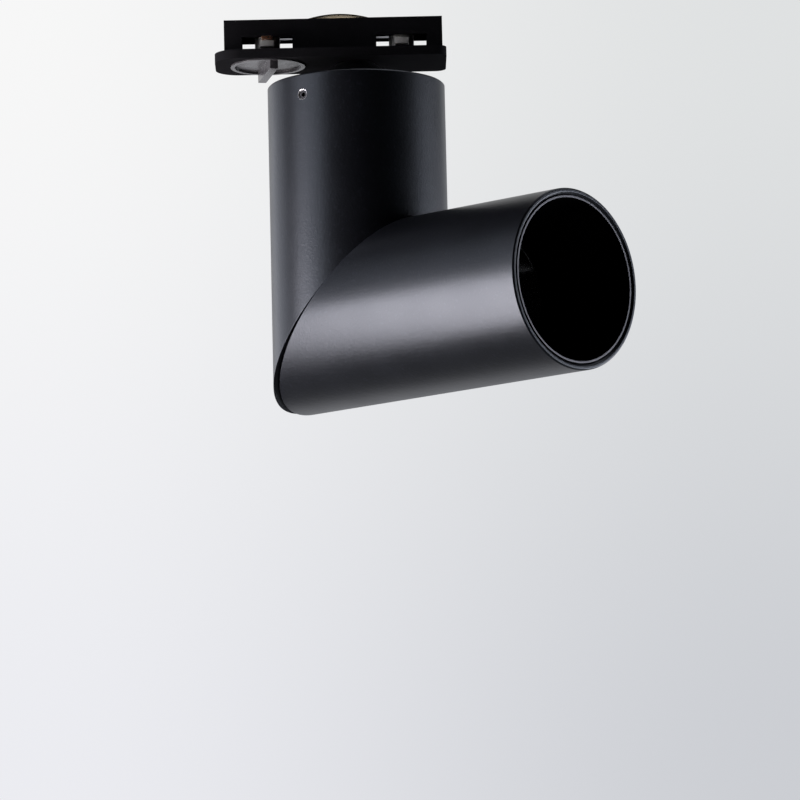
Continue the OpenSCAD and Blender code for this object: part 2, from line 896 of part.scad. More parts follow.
module heat_sink() {
    color([0.6, 0.61, 0.62])
    at_head()
    difference() {
        union() {
            translate([0, 0, sink_top - sink_base]) cylinder(r = fill_r, h = sink_base);
            intersection() {
                translate([0, 0, sink_z]) cylinder(r = fill_r, h = fin_h + over);
                union()
                    for (i = [-fin_side : fin_side])
                        translate([-tube_d, i * fin_pitch - fin_t / 2, sink_z])
                            cube([2 * tube_d, fin_t, fin_h + over]);
            }
        }
        wire_way();
        for (side = [-1, 1])
            translate([0, side * holder_screw_y, sink_top - sink_base + pin_short])
                cylinder(r = screw_r + seat_gap, h = sink_base);
    }
}

module holder_screw_holes() {
    for (side = [-1, 1])
        translate([0, side * holder_screw_y, sink_top - over])
            cylinder(r = screw_r + shim, h = board_t + holder_t + 2 * over);
}

module led_board() {
    color([0.9, 0.9, 0.88])
    at_head()
    difference() {
        translate([0, 0, sink_top]) cylinder(r = board_r, h = board_t);
        holder_screw_holes();
    }
}

module led_chip() {
    color([0.95, 0.8, 0.25])
    at_head()
    translate([0, 0, board_top]) cylinder(r = chip_r, h = chip_t);
}

module led_holder() {
    color([0.88, 0.88, 0.86])
    at_head()
    difference() {
        translate([0, 0, board_top]) ring(holder_r, holder_in, holder_t);
        holder_screw_holes();
    }
}

module holder_screws() {
    color([0.75, 0.75, 0.77])
    at_head()
    for (side = [-1, 1])
        translate([0, side * holder_screw_y, holder_top])
            rotate([180, 0, 0]) cap_screw(holder_screw_len);
}

// The parabola of the reflector: its inside radius at a share of its height
function refl_at(share) = sqrt((1 - share) * pow(refl_throat_r, 2) + share * pow(refl_r, 2));

module reflector() {
    steps = 8;
    inner = [for (i = [0 : steps]) [refl_at(i / steps), refl_z + i / steps * refl_h]];
    outer = [for (i = [steps : -1 : 0])
        [refl_at(i / steps) + refl_t, refl_z + i / steps * (refl_h - refl_t)]];
    rim = [[refl_r + refl_rim, refl_top], [refl_r + refl_rim, refl_top - refl_t]];
    color([0.8, 0.8, 0.82])
    at_head()
    rotate_extrude() polygon(concat(inner, rim, outer));
}

module front_glass() {
    color([0.75, 0.8, 0.82, 0.5])
    at_head()
    translate([0, 0, glass_z]) cylinder(r = glass_r, h = glass_t);
}

module baffle() {
    straight_z = mouth_z - mouth_len;
    color([0.02, 0.02, 0.022])
    at_head()
    rotate_extrude()
        polygon([
            [throat_r, baffle_z],
            [mouth_r, straight_z],
            [mouth_r, mouth_z],
            [fill_r, mouth_z],
            [fill_r, straight_z - baffle_step],
            [throat_r + 2 * baffle_t, baffle_z]
        ]);
}

module head_lead() {
    corner_z = wire_x / tan(mitre);
    color([0.85, 0.85, 0.85])
    at_head()
    translate([-wire_x, 0, corner_z])
        bent_lead(wire_r, wire_bend, mitre, sink_top - corner_z, wire_x / sin(mitre) + pivot_end);
}

adapter_base();
adapter_lid();
lid_screws();
earth_spring();
swivel_stem();
neck_collar();
pan_wave_washer();
pan_stop_washer();
stem_nut();
live_lead();
neutral_lead();
lock_knob();
front_rotor();
live_contact();
rear_rotor();
neutral_contact();
link_bar();
upper_tube();
top_cap();
glide_washer();
set_screws();
pan_stop_pin();
driver_bracket();
bracket_screws();
driver_screws();
led_driver();
input_leads();
output_lead();
tube_end_plate();
turn_stop_pin();
head_tube();
head_end_plate();
joint_washer();
pivot_sleeve();
turn_wave_washer();
turn_stop_washer();
pivot_nut();
heat_sink();
led_board();
led_chip();
led_holder();
holder_screws();
reflector();
front_glass();
baffle();
head_lead();
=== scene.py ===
"""Looks of the track spotlight: two mitred tubes that hang from a track adapter.

Lengths are in metres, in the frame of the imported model. New surfaces are outlines carried round an
axis and worked out as whole arrays. A piece whose solid is already right is a softened copy of it.
"""

import json
import logging
import math
from abc import ABC, abstractmethod
from dataclasses import dataclass, field
from enum import Enum
from functools import cache
from typing import NamedTuple

import bmesh
import bpy
import numpy as np
from mathutils import Matrix, Vector


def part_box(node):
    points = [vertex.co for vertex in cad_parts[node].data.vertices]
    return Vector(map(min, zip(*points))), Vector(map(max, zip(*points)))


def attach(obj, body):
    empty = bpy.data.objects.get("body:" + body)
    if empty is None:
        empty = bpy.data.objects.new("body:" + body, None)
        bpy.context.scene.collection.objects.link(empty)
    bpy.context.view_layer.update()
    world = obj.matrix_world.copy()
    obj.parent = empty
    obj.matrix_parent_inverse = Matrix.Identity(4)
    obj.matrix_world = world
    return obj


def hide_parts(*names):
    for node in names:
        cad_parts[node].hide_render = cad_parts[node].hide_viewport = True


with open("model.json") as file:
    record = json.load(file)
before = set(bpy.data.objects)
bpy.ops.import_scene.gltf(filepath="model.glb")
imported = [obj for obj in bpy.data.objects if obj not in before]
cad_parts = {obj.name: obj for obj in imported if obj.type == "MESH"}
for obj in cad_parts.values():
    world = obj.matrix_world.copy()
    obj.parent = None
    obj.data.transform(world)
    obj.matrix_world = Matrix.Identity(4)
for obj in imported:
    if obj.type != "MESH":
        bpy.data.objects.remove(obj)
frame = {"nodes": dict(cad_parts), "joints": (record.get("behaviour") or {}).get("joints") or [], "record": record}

LOG = logging.getLogger("track_spotlight")
MM = 0.001
BARE = "bare"
EDGE = "edge"
WHOLE = (0.0, 1.0)
Colour = tuple[float, float, float]
Span = tuple[float, float]
Piece = bpy.types.Object
Socket = bpy.types.NodeSocket


def named(entries: list[dict], name: str) -> dict:
    """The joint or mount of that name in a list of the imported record."""
    return next(entry for entry in entries if entry["name"] == name)


def slot_of(node: str) -> str:
    """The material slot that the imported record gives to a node."""
    return next(part["material_slot"] for part in frame["record"]["subparts"] if part["node"] == node)


def body_of(node: str) -> str:
    """The body that carries a node."""
    bodies = frame["record"]["behaviour"]["bodies"]
    return next(body for body, members in bodies.items() if node in members)


def unit(vectors: np.ndarray) -> np.ndarray:
    """The same vectors, each divided by its length."""
    return vectors / np.linalg.norm(vectors, axis=-1, keepdims=True)


@dataclass(frozen=True)
class Axes:
    """A right-handed frame of a piece inside the part, by its origin and two of its directions."""

    origin: np.ndarray
    x: np.ndarray
    z: np.ndarray

    def place(self, local: np.ndarray) -> np.ndarray:
        """The origin plus each local coordinate times its direction."""
        y = np.cross(self.z, self.x)
        return self.origin + local @ np.stack([self.x, y, self.z])


PART_AXES = Axes(np.zeros(3), np.array([1.0, 0.0, 0.0]), np.array([0.0, 0.0, 1.0]))


@dataclass
class MitreJoint:
    """The plane where the two tubes meet, read from the turning joint and the mouth of the head."""

    half_gap: float = 0.25 * MM

    def __post_init__(self) -> None:
        """Reads the joint's centre and axis, and the head's axis, lip, bore and straight mouth."""
        joint = named(frame["joints"], "head_turn")
        mouth = named(frame["record"]["mounts"], "baffle_mouth")
        self.centre = np.array(joint["pos_m"], float)
        self.axis = unit(np.array(joint["axis"], float))
        self.head_axis = unit(np.array(mouth["axis"], float))
        self.cosine = float(self.axis @ self.head_axis)
        self.sine = math.sqrt(1 - self.cosine**2)
        self.bore = mouth["dims"]["r_mm"] * MM
        self.straight = mouth["dims"]["length_mm"] * MM
        middle = (np.array(mouth["pos_m"]) - self.centre) @ self.head_axis
        self.lip = middle + self.straight / 2

    def tube_axes(self) -> Axes:
        """The upper tube's frame: z up the tube, x towards the short side of the mitre."""
        up = PART_AXES.z
        return Axes(self.centre, unit(self.axis + up * self.cosine), up)

    def head_axes(self) -> Axes:
        """The head's frame: z towards the mouth, x towards the short side of the mitre."""
        return Axes(self.centre, unit(self.head_axis * self.cosine - self.axis), self.head_axis)

    def cut_height(self, radius: float, turn: np.ndarray) -> np.ndarray:
        """Height at which a wall ends, at each turn: x * tan(mitre) + half gap / cos(mitre)."""
        return (radius * np.cos(turn) * self.sine + self.half_gap) / self.cosine


@dataclass
class Outline:
    """A closed outline in radius and height, one copy for each column, added block by block.

    A corner is rounded in some steps, and its guard rows lie some legs of that rounding away from it.
    """

    columns: int
    steps: int = 6
    guard: float = 2.2

    def __post_init__(self) -> None:
        """Spreads the columns round the axis and starts with no rows."""
        self.turn = np.linspace(0, 2 * math.pi, self.columns, endpoint=False)
        self.blocks: list[np.ndarray] = []

    @property
    def corner_rows(self) -> int:
        """Rows that a rounded corner takes, with its two guards."""
        return self.steps + 2

    @property
    def rows(self) -> int:
        """Rows added so far."""
        return sum(len(block) for block in self.blocks)

    def point(self, radius: float | np.ndarray, height: float | np.ndarray) -> np.ndarray:
        """One point of every copy, or a row of them for each radius and height of a column array."""
        return np.stack(np.broadcast_arrays(radius + 0 * self.turn, height), axis=-1)

    def add(self, rows: np.ndarray) -> None:
        """Adds rows of points, as rows by columns by radius and height."""
        self.blocks.append(rows)

    def add_corner(self, before: np.ndarray, corner: np.ndarray, after: np.ndarray, leg: float) -> None:
        """Adds a rounded corner with a guard row on either side, which keeps the flats flat.

        The curve is (1 - t)^2 * start + 2 t (1 - t) * corner + t^2 * stop for t from 0 to 1, where
        start and stop lie one leg from the corner towards its neighbours.

        Args:
            before: The outline's corner before this one.
            corner: The sharp corner.
            after: The outline's corner after this one.
            leg: Length that the curve takes from each side.
        """
        back = unit(before - corner)
        ahead = unit(after - corner)
        t = np.linspace(0, 1, self.steps)[:, None, None]
        curve = corner + leg * ((1 - t) ** 2 * back + t**2 * ahead)
        guards = corner + self.guard * leg * np.stack([back, ahead])
        self.add(np.concatenate([guards[:1], curve, guards[1:]]))

    def add_polygon(self, *corners: tuple[float, float, float]) -> None:
        """Adds a whole closed outline whose corners are the same in every column.

        Args:
            corners: Radius and height of each corner in order, with the length of its rounding.
        """
        points = [self.point(radius, height) for radius, height, _ in corners]
        for number, (_, _, leg) in enumerate(corners):
            following = points[(number + 1) % len(points)]
            self.add_corner(points[number - 1], points[number], following, leg)

    def surface(self) -> np.ndarray:
        """The outline carried round its axis, rows by columns: x = r cos t, y = r sin t, and z stays."""
        radius, height = np.moveaxis(np.concatenate(self.blocks), -1, 0)
        return np.stack([radius * np.cos(self.turn), radius * np.sin(self.turn), height], axis=-1)


def closed_grid(rows: int, columns: int) -> np.ndarray:
    """Corner numbers of the quads of a grid that closes on itself both ways.

    Args:
        rows: Rows of points.
        columns: Points in a row.

    Returns:
        Numbers as rows by columns by four corners.
    """
    here = np.arange(rows * columns).reshape(rows, columns)
    right = np.roll(here, -1, axis=1)
    return np.stack([here, right, np.roll(right, -1, axis=0), np.roll(here, -1, axis=0)], axis=-1)


def linked(name: str, data: bpy.types.ID) -> Piece:
    """Makes an object and links it to the scene.

    Args:
        name: Name of the object.
        data: Its mesh, camera or lamp.

    Returns:
        The new object.
    """
    piece = bpy.data.objects.new(name, data)
    bpy.context.scene.collection.objects.link(piece)
    return piece


def mesh_piece(name: str, points: np.ndarray, quads: np.ndarray, marks: dict[str, np.ndarray]) -> Piece:
    """Makes an object of a closed surface and turns its faces outwards.

    The volume is a sixth of the sum of each triangle's triple product. Where it is negative, the
    order of the corners is reversed.

    Args:
        name: Name of the piece.
        points: Points by coordinates.
        quads: Faces by four corner numbers.
        marks: Values for each point, by the name of their attribute.

    Returns:
        The new object, linked to the scene.
    """
    halves = np.concatenate([quads[:, [0, 1, 2]], quads[:, [0, 2, 3]]])
    a, b, c = (points[halves[:, corner]] for corner in range(3))
    if np.einsum("ij,ij->", a, np.cross(b, c)) < 0:
        quads = quads[:, ::-1]
    mesh = bpy.data.meshes.new(name)
    mesh.vertices.add(len(points))
    mesh.vertices.foreach_set("co", points.astype(np.float32).ravel())
    mesh.loops.add(quads.size)
    mesh.loops.foreach_set("vertex_index", quads.astype(np.int32).ravel())
    mesh.polygons.add(len(quads))
    mesh.polygons.foreach_set("loop_start", np.arange(0, quads.size, 4, dtype=np.int32))
    mesh.update(calc_edges=True)
    mesh.validate()
    mesh.shade_smooth()
    for mark, values in marks.items():
        layer = mesh.attributes.new(mark, "FLOAT", "POINT")
        layer.data.foreach_set("value", values.astype(np.float32))
    return linked(name, mesh)


def carried(name: str, outline: Outline, axes: Axes, bare: np.ndarray | None = None) -> Piece:
    """Makes a piece of an outline that is carried round an axis.

    Args:
        name: Name of the piece.
        outline: The finished outline.
        axes: Frame whose z is the axis.
        bare: How bare the metal is on each row of the outline.

    Returns:
        The new object.
    """
    surface = outline.surface()
    rows, columns = surface.shape[:2]
    marks = {} if bare is None else {BARE: np.repeat(bare, columns)}
    quads = closed_grid(rows, columns).reshape(-1, 4)
    return mesh_piece(name, axes.place(surface.reshape(-1, 3)), quads, marks)


@dataclass
class NodeSheet:
    """Fills a node tree step by step."""

    tree: bpy.types.NodeTree

    def feed(self, socket: Socket, value: object) -> None:
        """Links a source to a socket, or sets the socket's plain value.

        Args:
            socket: The socket.
            value: Another socket or a plain value.
        """
        if isinstance(value, bpy.types.NodeSocket):
            self.tree.links.new(value, socket)
        else:
            socket.default_value = value

    def add(self, kind: str, values: dict | None = None, **settings: object) -> bpy.types.Node:
        """Adds one node.

        Args:
            kind: The node's type, without its prefix.
            values: Socket names or numbers, each with a plain value or a source.
            settings: Properties of the node itself.

        Returns:
            The new node.
        """
        node = self.tree.nodes.new("ShaderNode" + kind)
        for key, value in settings.items():
            setattr(node, key, value)
        for key, value in (values or {}).items():
            self.feed(node.inputs[key], value)
        return node

    def math(self, operation: str, a: object, b: object) -> Socket:
        """The result of one sum on two values."""
        return self.add("Math", {0: a, 1: b}, operation=operation).outputs[0]

    def noise(self, place: Socket, density: object, detail: float) -> Socket:
        """Noise from 0 to 1, with so many grains to a unit of the coordinates."""
        return self.add("TexNoise", {"Vector": place, "Scale": density, "Detail": detail}).outputs[0]

    def spread(self, value: Socket, old: Span = WHOLE, new: Span = WHOLE) -> Socket:
        """A value taken smoothly from its old range to a new one, and held at the ends."""
        ends = dict(zip(("From Min", "From Max", "To Min", "To Max"), old + new))
        return self.add("MapRange", {"Value": value, **ends}, interpolation_type="SMOOTHSTEP").outputs[0]

    def mix(self, share: Socket, first: Socket | Colour, second: Socket | Colour) -> Socket:
        """A colour between two others, by the share of the second."""
        ends = [one if isinstance(one, bpy.types.NodeSocket) else (*one, 1.0) for one in (first, second)]
        return self.add("Mix", {0: share, 6: ends[0], 7: ends[1]}, data_type="RGBA").outputs[2]

    def seen(self, share: object) -> Socket:
        """One for camera rays, and a share for the rays that metal and glass send on.

        Args:
            share: What glossy and transmission rays see.

        Returns:
            The strength at which a ray sees a backdrop.
        """
        path = self.add("LightPath").outputs
        mirrored = self.math("MAXIMUM", path["Is Glossy Ray"], path["Is Transmission Ray"])
        return self.math("MAXIMUM", path["Is Camera Ray"], self.math("MULTIPLY", mirrored, share))


class GroupSheet(NodeSheet):
    """The nodes of a shader group that several materials share."""

    def __init__(self, name: str, sources: dict[str, str], *results: str) -> None:
        """Makes the group, with coordinates as its first input.

        Args:
            name: Name of the group.
            sources: Kind of each further input, by its name.
            results: Names of the outputs, which are plain values.
        """
        super().__init__(bpy.data.node_groups.new(name, "ShaderNodeTree"))
        add_socket = self.tree.interface.new_socket
        for label, kind in {"Vector": "Vector", **sources}.items():
            add_socket(label, in_out="INPUT", socket_type="NodeSocket" + kind)
        for label in results:
            add_socket(label, in_out="OUTPUT", socket_type="NodeSocketFloat")
        self.given = self.tree.nodes.new("NodeGroupInput").outputs
        self.made = self.tree.nodes.new("NodeGroupOutput").inputs

    def put(self, **results: Socket) -> bpy.types.NodeTree:
        """Feeds the group's outputs by their names.

        Args:
            results: A source for each output.

        Returns:
            The finished group.
        """
        for name, source in results.items():
            self.feed(self.made[name], source)
        return self.tree


@cache
def coat_grain() -> bpy.types.NodeTree:
    """Fine grain of a sprayed or moulded skin: two layers of noise, and sparse flecks in a third.

    Returns:
        The group, with a height and a mask of the flecks.
    """
    swell_density, swell_share = 0.3, 0.6
    fleck_density, fleck_range = 0.7, (0.64, 0.8)
    sheet = GroupSheet("coat_grain", {"Size": "Float"}, "Height", "Fleck")
    place = sheet.given["Vector"]
    density = sheet.math("DIVIDE", 1.0, sheet.given["Size"])
    fine = sheet.noise(place, density, detail=2.0)
    swell = sheet.noise(place, sheet.math("MULTIPLY", density, swell_density), detail=1.0)
    fleck = sheet.noise(place, sheet.math("MULTIPLY", density, fleck_density), detail=0.0)
    height = sheet.math("ADD", fine, sheet.math("MULTIPLY", swell, swell_share))
    return sheet.put(Height=height, Fleck=sheet.spread(fleck, fleck_range))


@cache
def soft_mottle() -> bpy.types.NodeTree:
    """Slow change of tone over a surface.

    Returns:
        The group, with a value from 0 to 1.
    """
    cloud_range = (0.3, 0.7)
    sheet = GroupSheet("soft_mottle", {"Size": "Float"}, "Value")
    density = sheet.math("DIVIDE", 1.0, sheet.given["Size"])
    cloud = sheet.noise(sheet.given["Vector"], density, detail=3.0)
    return sheet.put(Value=sheet.spread(cloud, cloud_range))


@cache
def painted_edge_highlight() -> bpy.types.NodeTree:
    """Painted highlight along marked edges: the mark is broken up by noise, so that the light line is uneven.

    Returns:
        The group, with a mask of the painted highlight.
    """
    breakup_density, lit_edge_range = 1600.0, (0.42, 0.62)
    sheet = GroupSheet("painted_edge_highlight", {"Edge": "Float"}, "Mask")
    breakup = sheet.noise(sheet.given["Vector"], breakup_density, detail=2.0)
    # Painted highlight: the edge mark, broken up by noise, says where the coat is painted lighter.
    lit_edge = sheet.math("MULTIPLY", sheet.given["Edge"], breakup)
    return sheet.put(Mask=sheet.spread(lit_edge, lit_edge_range))


@cache
def tool_lines() -> bpy.types.NodeTree:
    """Fine parallel lines of drawn, turned or brushed metal: noise on stretched coordinates.

    Returns:
        The group, with a height and a shade of the lines.
    """
    shade_range = (0.3, 0.7)
    sheet = GroupSheet("tool_lines", {"Stretch": "Vector"}, "Height", "Shade")
    pair = {0: sheet.given["Vector"], 1: sheet.given["Stretch"]}
    place = sheet.add("VectorMath", pair, operation="MULTIPLY").outputs[0]
    lines = sheet.noise(place, 1.0, detail=4.0)
    return sheet.put(Height=lines, Shade=sheet.spread(lines, shade_range))


class MaterialSheet(NodeSheet):
    """The nodes of one material, with its shader and its object coordinates."""

    def __init__(self, name: str) -> None:
        """Makes the material.

        Args:
            name: Name of the material.
        """
        self.material = bpy.data.materials.new(name)
        self.material.use_nodes = True
        super().__init__(self.material.node_tree)
        self.shader = self.tree.nodes["Principled BSDF"].inputs
        self.place = self.add("TexCoord").outputs["Object"]

    def put(self, socket: str, value: object) -> None:
        """Links a source to a socket of the shader, or sets its plain value."""
        self.feed(self.shader[socket], value)

    def group(self, tree: bpy.types.NodeTree, **values: object) -> bpy.types.NodeOutputs:
        """Places a shared group at the object coordinates, with its own values."""
        return self.add("Group", {"Vector": self.place, **values}, node_tree=tree).outputs

    def mottle(self, size: float) -> Socket:
        """Slow change from 0 to 1 over patches of that size."""
        return self.group(soft_mottle(), Size=size)["Value"]

    def mark(self, name: str) -> Socket:
        """The piece's own attribute of that name."""
        return self.add("Attribute", attribute_name=name).outputs["Fac"]

    def raise_grain(self, height: Socket, relief: float) -> None:
        """Feeds a height to the shader's normal, with the relief as its real depth."""
        bump = self.add("Bump", {"Height": height, "Distance": relief, "Strength": 1.0})
        self.put("Normal", bump.outputs["Normal"])


class Lay(Enum):
    """Direction of the fine lines on a metal, as lines per metre along x, y and z."""

    UPRIGHT = (2600.0, 2600.0, 90.0)
    LEVEL = (120.0, 120.0, 3200.0)
    TUMBLED = (1500.0, 1500.0, 1500.0)


@dataclass(frozen=True)
class Finish(ABC):
    """A surface finish that is made into one material, with a linear colour and a mean roughness."""

    colour: Colour
    roughness: float

    def material(self, name: str) -> bpy.types.Material:
        """Makes the material and fills its nodes.

        Args:
            name: Name of the material.

        Returns:
            The new material.
        """
        sheet = MaterialSheet(name)
        sheet.put("Roughness", self.roughness)
        self.paint(sheet)
        return sheet.material

    @abstractmethod
    def paint(self, sheet: MaterialSheet) -> None:
        """Adds the nodes of this finish to a material's sheet."""

    def tones(self, *shares: float) -> list[Colour]:
        """The main colour times each share."""
        return [tuple(part * share for part in self.colour) for share in shares]


@dataclass(frozen=True)
class Patched(Finish):
    """A finish with patches of uneven tone, as shares of the colour, and of uneven roughness."""

    patch: float = 9 * MM
    patch_tones: Span = (0.88, 1.1)
    patch_gloss: Span = (-0.05, 0.05)

    def patches(self, sheet: MaterialSheet) -> Socket:
        """Feeds the uneven roughness to the shader.

        Args:
            sheet: The material's nodes.

        Returns:
            The uneven colour.
        """
        mottle = sheet.mottle(self.patch)
        dull, bright = self.patch_gloss
        sheet.put("Roughness", sheet.spread(mottle, new=(self.roughness + dull, self.roughness + bright)))
        return sheet.mix(mottle, *self.tones(*self.patch_tones))


@dataclass(frozen=True)
class Grained(Patched):
    """A finish with a fine grain and pale flecks. A sheen of 0.5 is that of plain varnish or plastic."""

    sheen: float = 0.5
    grain: float = 0.3 * MM
    relief: float = 0.02 * MM
    fleck: float = 1.3

    def skin(self, sheet: MaterialSheet) -> Socket:
        """Feeds the sheen, the uneven roughness and the raised grain to the shader.

        Args:
            sheet: The material's nodes.

        Returns:
            The colour with its patches and flecks.
        """
        grain = sheet.group(coat_grain(), Size=self.grain)
        sheet.put("Specular IOR Level", self.sheen)
        sheet.raise_grain(grain["Height"], self.relief)
        return sheet.mix(grain["Fleck"], self.patches(sheet), *self.tones(self.fleck))


@dataclass(frozen=True)
class PowderCoat(Grained):
    """A sprayed satin coat with a blue-black sheen, painted highlights on marked edges and bare metal where
    marked.
    """

    metal: Colour = (0.72, 0.72, 0.73)
    tint: Colour = (0.805, 0.891, 1.0)
    # Tone of the painted edge highlight, as a share of the coat's colour.
    edge_highlight_tone: float = 2.6
    sheen: float = 0.556
    grain: float = 0.75 * MM
    relief: float = 0.045 * MM
    fleck: float = 2.2
    patch: float = 18 * MM
    patch_tones: Span = (0.9, 1.12)
    patch_gloss: Span = (-0.008, 0.008)

    def paint(self, sheet: MaterialSheet) -> None:
        """Adds the grained coat, its painted edge highlight and its bare places.

        Args:
            sheet: The material's nodes.
        """
        # Painted highlight: the coat is lighter along the marked mitre edge, where that edge catches light.
        edge_highlight_mask = sheet.group(painted_edge_highlight(), Edge=sheet.mark(EDGE))["Mask"]
        coat = sheet.mix(edge_highlight_mask, self.skin(sheet), *self.tones(self.edge_highlight_tone))
        bare = sheet.mark(BARE)
        sheet.put("Base Color", sheet.mix(bare, coat, self.metal))
        sheet.put("Metallic", bare)
        sheet.put("Specular Tint", (*self.tint, 1.0))


@dataclass(frozen=True)
class MouldedPlastic(Grained):
    """Moulded plastic with a spark-eroded grain."""

    def paint(self, sheet: MaterialSheet) -> None:
        """Adds the grained skin."""
        sheet.put("Base Color", self.skin(sheet))


@dataclass(frozen=True)
class BareMetal(Patched):
    """Plated, drawn or turned metal with fine lines."""

    lay: Lay = Lay.TUMBLED
    relief: float = 0.006 * MM
    shine: float = 1.08
    patch: float = 6 * MM
    patch_tones: Span = (0.78, 1.0)
    patch_gloss: Span = (0.06, -0.04)

    def paint(self, sheet: MaterialSheet) -> None:
        """Adds the metal's colour with dull patches, its lines and its uneven gloss.

        Args:
            sheet: The material's nodes.
        """
        lines = sheet.group(tool_lines(), Stretch=self.lay.value)
        sheet.put("Base Color", sheet.mix(lines["Shade"], self.patches(sheet), *self.tones(self.shine)))
        sheet.put("Metallic", 1.0)
        sheet.raise_grain(lines["Height"], self.relief)


@dataclass(frozen=True)
class ClearGlass(Finish):
    """Clear flat glass with a faint film of dust."""

    index: float = 1.5
    clean: float = 0.01
    film: float = 0.97
    patch: float = 7 * MM

    def paint(self, sheet: MaterialSheet) -> None:
        """Adds clear transmission and a gloss that changes with the film.

        Args:
            sheet: The material's nodes.
        """
        film = sheet.mottle(self.patch)
        sheet.put("Base Color", sheet.mix(film, *self.tones(1.0, self.film)))
        sheet.put("Roughness", sheet.spread(film, new=(self.clean, self.roughness)))
        sheet.put("Transmission Weight", 1.0)
        sheet.put("IOR", self.index)


@dataclass(frozen=True)
class Phosphor(Finish):
    """Grainy phosphor gel over the emitter."""

    grain: float = 0.5 * MM
    relief: float = 0.02 * MM
    fleck: float = 1.15
    gel: float = 0.4

    def paint(self, sheet: MaterialSheet) -> None:
        """Adds the gel's colour, paler in flecks, and its grain.

        Args:
            sheet: The material's nodes.
        """
        grain = sheet.group(coat_grain(), Size=self.grain)
        sheet.put("Base Color", sheet.mix(grain["Fleck"], *self.tones(1.0, self.fleck)))
        sheet.put("Coat Weight", self.gel)
        sheet.raise_grain(grain["Height"], self.relief)


@dataclass(frozen=True)
class PalePaper(Finish):
    """Plain paper that the camera sees a little brighter than the light on it makes it.

    Metal and glass see a mirrored share of that lift.
    """

    lift: float = 0.5
    mirrored: float = 0.15
    patch: float = 0.3
    patch_tones: Span = (0.985, 1.0)

    def paint(self, sheet: MaterialSheet) -> None:
        """Adds the uneven colour and the lift.

        Args:
            sheet: The material's nodes.
        """
        sheet.put("Base Color", sheet.mix(sheet.mottle(self.patch), *self.tones(*self.patch_tones)))
        sheet.put("Emission Color", (*self.colour, 1.0))
        sheet.put("Emission Strength", sheet.math("MULTIPLY", sheet.seen(self.mirrored), self.lift))


STEEL = (0.60, 0.61, 0.62)
BRASS = (0.72, 0.52, 0.22)
WHITE = (0.78, 0.78, 0.76)
CHARCOAL = (0.0042, 0.0046, 0.0064)

FINISHES: dict[str, Finish] = {
    "adapter_plastic": MouldedPlastic((0.012, 0.012, 0.0135), 0.8, sheen=0.008),
    "knob_plastic": MouldedPlastic((0.06, 0.06, 0.064), 0.24, relief=0.004 * MM),
    "collar_coat": PowderCoat((0.010, 0.0102, 0.011), 0.4),
    "upper_coat": PowderCoat(CHARCOAL, 0.35, metal=(0.9, 0.9, 0.91)),
    "head_coat": PowderCoat(CHARCOAL, 0.35),
    "cap_coat": PowderCoat((0.012, 0.0125, 0.0135), 0.42),
    "plate_coat": PowderCoat((0.008, 0.008, 0.009), 0.5),
    "zinc_steel": BareMetal((0.62, 0.63, 0.65), 0.32),
    "set_screw_steel": BareMetal((0.05, 0.05, 0.054), 0.4),
    "spring_steel": BareMetal(STEEL, 0.28),
    "link_steel": BareMetal(STEEL, 0.34, lay=Lay.UPRIGHT),
    "bracket_steel": BareMetal((0.58, 0.6, 0.62), 0.36, lay=Lay.UPRIGHT),
    "spring_brass": BareMetal(BRASS, 0.26, lay=Lay.LEVEL),
    "nut_brass": BareMetal(BRASS, 0.3),
    "contact_copper": BareMetal((0.78, 0.42, 0.26), 0.26, lay=Lay.LEVEL),
    "rotor_plastic": MouldedPlastic((0.55, 0.54, 0.5), 0.45),
    "nylon": MouldedPlastic((0.68, 0.68, 0.64), 0.5),
    "driver_case": MouldedPlastic(WHITE, 0.45),
    "live_insulation": MouldedPlastic((0.16, 0.06, 0.025), 0.42),
    "neutral_insulation": MouldedPlastic((0.025, 0.08, 0.3), 0.42),
    "input_insulation": MouldedPlastic((0.07, 0.055, 0.09), 0.42),
    "lead_insulation": MouldedPlastic((0.66, 0.66, 0.64), 0.42),
    "sink_aluminium": BareMetal((0.72, 0.73, 0.74), 0.38, lay=Lay.UPRIGHT),
    "board_white": MouldedPlastic((0.8, 0.8, 0.77), 0.36, grain=0.8 * MM, relief=0.01 * MM),
    "emitter_phosphor": Phosphor((0.72, 0.5, 0.08), 0.4),
    "holder_plastic": MouldedPlastic((0.012, 0.012, 0.013), 0.45),
    # Painted shade: the reflector's metal is darkened to near black so that the mouth stays dark.
    "reflector_smoke": BareMetal(
        (0.1, 0.1, 0.105), 0.12, lay=Lay.LEVEL, relief=0.002 * MM, patch_tones=(0.95, 1.0)
    ),
    "clear_glass": ClearGlass((0.97, 0.985, 0.98), 0.04),
    "baffle_black": PowderCoat((0.0012, 0.0012, 0.0013), 0.6, metal=(0.16, 0.16, 0.17), sheen=0.06),
}


@dataclass
class Wardrobe:
    """One material for each slot of the record, made when it is first asked for."""

    made: dict[str, bpy.types.Material] = field(default_factory=dict)

    def dress(self, piece: Piece, slot: str) -> None:
        """Gives a piece the one material of its slot.

        Args:
            piece: The object.
            slot: Name of the slot.
        """
        if slot not in self.made:
            self.made[slot] = FINISHES[slot].material(slot)
        if piece.material_slots:
            for holder in piece.material_slots:
                holder.material = self.made[slot]
        else:
            piece.data.materials.append(self.made[slot])


@dataclass
class Assembly(ABC):
    """A group of pieces that is built and dressed together."""

    wardrobe: Wardrobe

    @abstractmethod
    def build(self) -> list[tuple[Piece, str]]:
        """Makes the pieces, each with the node that it stands for."""

    def dress(self, piece: Piece, node: str) -> None:
        """Puts a piece on its body in place of its node, and gives it its finish.

        Args:
            piece: The new piece.
            node: The node that it stands for.
        """
        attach(piece, body_of(node))
        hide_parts(node)
        self.wardrobe.dress(piece, slot_of(node))
        LOG.info("%s stands for %s on %s", piece.name, node, body_of(node))

    def fit(self) -> None:
        """Builds the pieces and dresses each."""
        for piece, node in self.build():
            self.dress(piece, node)


